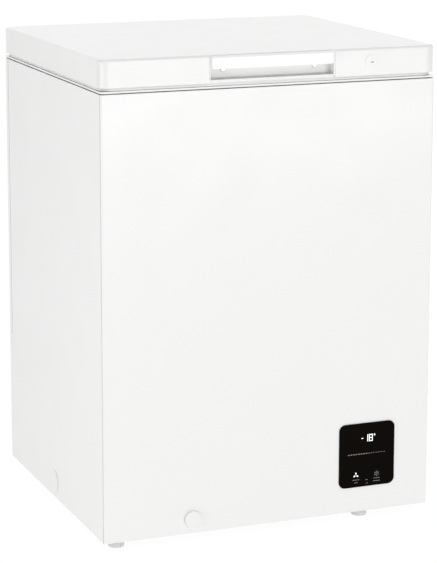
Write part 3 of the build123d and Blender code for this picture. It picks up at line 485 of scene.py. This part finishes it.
def buildSeamShadeStrips():
    # painted shade: dark strips set in the gaps where the side sheets meet the front and the back,
    # standing for the shadow that falls in those seams
    left, right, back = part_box("left_side_panel"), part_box("right_side_panel"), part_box("back_panel")
    top = left[1][2]
    verts, faces = [], []
    for outer, way in ((left[0][0], 1), (right[1][0], -1)):
        inner = outer + way * seamShadeStrip["depth"]
        for y1, bottom in ((left[0][1], left[0][2]), (back[0][1], back[0][2])):
            y0, start = y1 - seamShadeStrip["width"], len(verts)
            verts += [(x, y, z) for z in (bottom, top)
                      for x, y in ((outer, y0), (inner, y0), (inner, y1), (outer, y1))]
            faces += [tuple(start + i for i in face) for face in (
                (0, 1, 2, 3), (7, 6, 5, 4), (0, 4, 5, 1), (1, 5, 6, 2), (2, 6, 7, 3), (3, 7, 4, 0))]
    # the black nitrile finish is lent to these strips only to paint that seam shade
    addMesh("seamShadeStrips", verts, faces, "cabinet", "grommet_rubber", smooth=False)


buildSeamShadeStrips()
print("seam shade strips built")


signs = {"fan": (-21.2, -36.6), "flake": (19.8, -37.5), "rule": 2.3, "lift": 0.18 * mm, "line": 0.7,
         "rules": (-37, 34, 5), "ruleDash": 2.6, "ruleWidths": (1.6, 0.8), "brightDashes": 8,
         "hub": 0.9, "blade": (4.1, 3.5), "arm": (1.1, 4.8), "barb": (0.55, 1.7), "barbRoot": 2.9,
         "captionWidth": 0.9,
         "captions": ((-21.2, 6.5, -45.4), (-21.2, 3.2, -50.5), (19.8, 6.2, -45.7), (19.8, 7, -51),
                      (0, 1.8, -47), (1, 1.2, -53.5))}


def flatShape(outlines, name, slot):
    # thin raised print, each outline a closed list of (x, z) in mm from the glass's centre
    low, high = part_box("control_glass")
    cx, cz, y = (low[0] + high[0]) / 2, (low[2] + high[2]) / 2, low[1]
    verts, faces = [], []
    for outline in outlines:
        start, count = len(verts), len(outline)
        for depth in (y - signs["lift"], y + 0.05 * mm):
            verts += [(cx + x * mm, depth, cz + z * mm) for x, z in outline]
        faces.append(tuple(range(start, start + count)))
        faces.append(tuple(range(start + 2 * count - 1, start + count - 1, -1)))
        for i in range(count):
            j = (i + 1) % count
            faces.append((start + i, start + j, start + count + j, start + count + i))
    return addMesh(name, verts, faces, "cabinet", slot, smooth=False)


def stroke(a, b, width):
    # rounded bar from a to b
    a, b = Vector(a), Vector(b)
    along = (b - a).normalized()
    side = Vector((-along.y, along.x)) * width / 2
    tip = along * width / 2
    return [tuple(p) for p in (a - side, b - side, b + tip, b + side, a + side, a - tip)]


def petal(centre, angle, length, width, steps=10):
    # one blade of the fan: a teardrop that widens away from the hub
    outline = []
    for i in range(2 * steps):
        t = i / (2 * steps) * 2 * math.pi
        reach = (1 - math.cos(t)) / 2 * length
        side = math.sin(t) * width / 2 * (0.35 + 0.65 * reach / length)
        outline.append((centre[0] + reach * math.cos(angle) - side * math.sin(angle),
                        centre[1] + reach * math.sin(angle) + side * math.cos(angle)))
    return outline


def buildSigns():
    fan, flake, line = signs["fan"], signs["flake"], signs["line"]
    hub = signs["hub"]
    blades = [petal((fan[0] + math.cos(a) * hub, fan[1] + math.sin(a) * hub), a, *signs["blade"])
              for a in (math.radians(90), math.radians(210), math.radians(330))]
    flatShape(blades, "fanSign", "display_light")
    arms = []
    for i in range(6):
        a = math.radians(60 * i + 30)
        way = Vector((math.cos(a), math.sin(a)))
        arms.append(stroke(*[Vector(flake) + way * reach for reach in signs["arm"]], line))
        for turn in (-45, 45):
            barb = Vector((math.cos(a + math.radians(turn)), math.sin(a + math.radians(turn))))
            root = Vector(flake) + way * (signs["barbRoot"] + 0.25 * line)
            arms.append(stroke(*[root + barb * reach for reach in signs["barb"]], line * 0.8))
    marks = flatShape(arms, "flakeSign", "icon_print")
    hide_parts("panel_icons")
    rule = [[(x, signs["rule"]), (x + signs["ruleDash"], signs["rule"])] for x in range(*signs["rules"])]
    bright, (wide, thin) = signs["brightDashes"], signs["ruleWidths"]
    flatShape([stroke(a, b, wide) for a, b in rule[:bright]], "ruleBright", "icon_print")
    flatShape([stroke(a, b, thin) for a, b in rule[bright:]], "ruleFaint", "icon_print")
    captions = [stroke((x - half, z), (x + half, z), signs["captionWidth"])
                for x, half, z in signs["captions"]]
    flatShape(captions, "captionStrokes", "icon_print")


buildSigns()
print("signs built")


studio = {
    "skyBright": 1.25, "skyDim": 0.46, "brightWay": (0.28, 0.70, 0.66),   # brighter behind and above
    "skyBlend": (-0.2, 0.6),
    "cardBlend": (0.55, 0.80), "cardDim": 0.25,   # dark cards left and right, which draw the upright edges
    "floor": {"first": "505050", "second": "4E4E4E", "rough": (0.85, 0.95)}, "floorGlow": 0.95,
    "floorReach": 9, "floorCloudMm": 300,
    "key": {"place": (0.8, -3.3, 0.5), "size": (2.2, 0.7), "power": 24},
    "aim": (0, -0.1, 0.45),   # both lamps face the middle of the cabinet
    "side": {"place": (-1.8, -0.85, 0.5), "size": (0.8, 0.6), "power": 6.5},
}


def addLamp(name, place, target, size, power):
    data = bpy.data.lights.new(name, "AREA")
    data.shape = "RECTANGLE"
    data.size, data.size_y = size
    data.energy = power
    lamp = bpy.data.objects.new(name, data)
    bpy.context.collection.objects.link(lamp)
    lamp.location = place
    lamp.rotation_mode = "QUATERNION"
    lamp.rotation_quaternion = (Vector(place) - Vector(target)).to_track_quat("Z", "Y")


def buildStudio():
    reach = studio["floorReach"]
    verts = [(x * reach, y * reach, 0) for x, y in ((-1, -1), (1, -1), (1, 1), (-1, 1))]
    mesh = bpy.data.meshes.new("floor")
    mesh.from_pydata(verts, [], [(0, 1, 2, 3)])
    floor = bpy.data.objects.new("floor", mesh)
    bpy.context.collection.objects.link(floor)
    # matt backdrop that glows a little, so that it stays white right up to the feet
    material, tree, shader, position = startMaterial("glowingBackdrop", {
        "Emission Color": (1, 1, 1, 1), "Emission Strength": studio["floorGlow"],
        "Specular IOR Level": 0.0})
    cloud = addNode(tree, "ShaderNodeTexNoise", {"Scale": 1 / (studio["floorCloudMm"] * mm)},
                    {"Vector": position})
    coverSurface(tree, shader, cloud.outputs["Fac"], studio["floor"])
    mesh.materials.append(material)
    world = bpy.data.worlds.new("whiteStudio")
    world.use_nodes = True
    bpy.context.scene.world = world
    tree = world.node_tree
    way = addNode(tree, "ShaderNodeTexCoord")
    facing = addNode(tree, "ShaderNodeVectorMath", {"operation": "DOT_PRODUCT"},
                     {0: way.outputs["Generated"]})
    facing.inputs[1].default_value = studio["brightWay"]
    glow = addNode(tree, "ShaderNodeMapRange", {
        "From Min": studio["skyBlend"][0], "From Max": studio["skyBlend"][1],
        "To Min": studio["skyDim"], "To Max": studio["skyBright"]},
        {"Value": facing.outputs["Value"]})
    sides = addNode(tree, "ShaderNodeSeparateXYZ", {}, {"Vector": way.outputs["Generated"]})
    aside = addNode(tree, "ShaderNodeMath", {"operation": "ABSOLUTE"}, {0: sides.outputs["X"]})
    card = addNode(tree, "ShaderNodeMapRange", {
        "From Min": studio["cardBlend"][0], "From Max": studio["cardBlend"][1],
        "To Min": 1.0, "To Max": studio["cardDim"]},
        {"Value": aside.outputs["Value"]})
    strength = addNode(tree, "ShaderNodeMath", {"operation": "MULTIPLY"},
                       {0: glow.outputs["Result"], 1: card.outputs["Result"]})
    tree.nodes["Background"].inputs["Color"].default_value = (1, 1, 1, 1)
    tree.links.new(strength.outputs["Value"], tree.nodes["Background"].inputs["Strength"])
    for name in ("key", "side"):
        lamp = studio[name]
        addLamp(name + "Lamp", lamp["place"], studio["aim"], lamp["size"], lamp["power"])
    bpy.context.scene.view_settings.view_transform = "Standard"


buildStudio()
print("studio built")
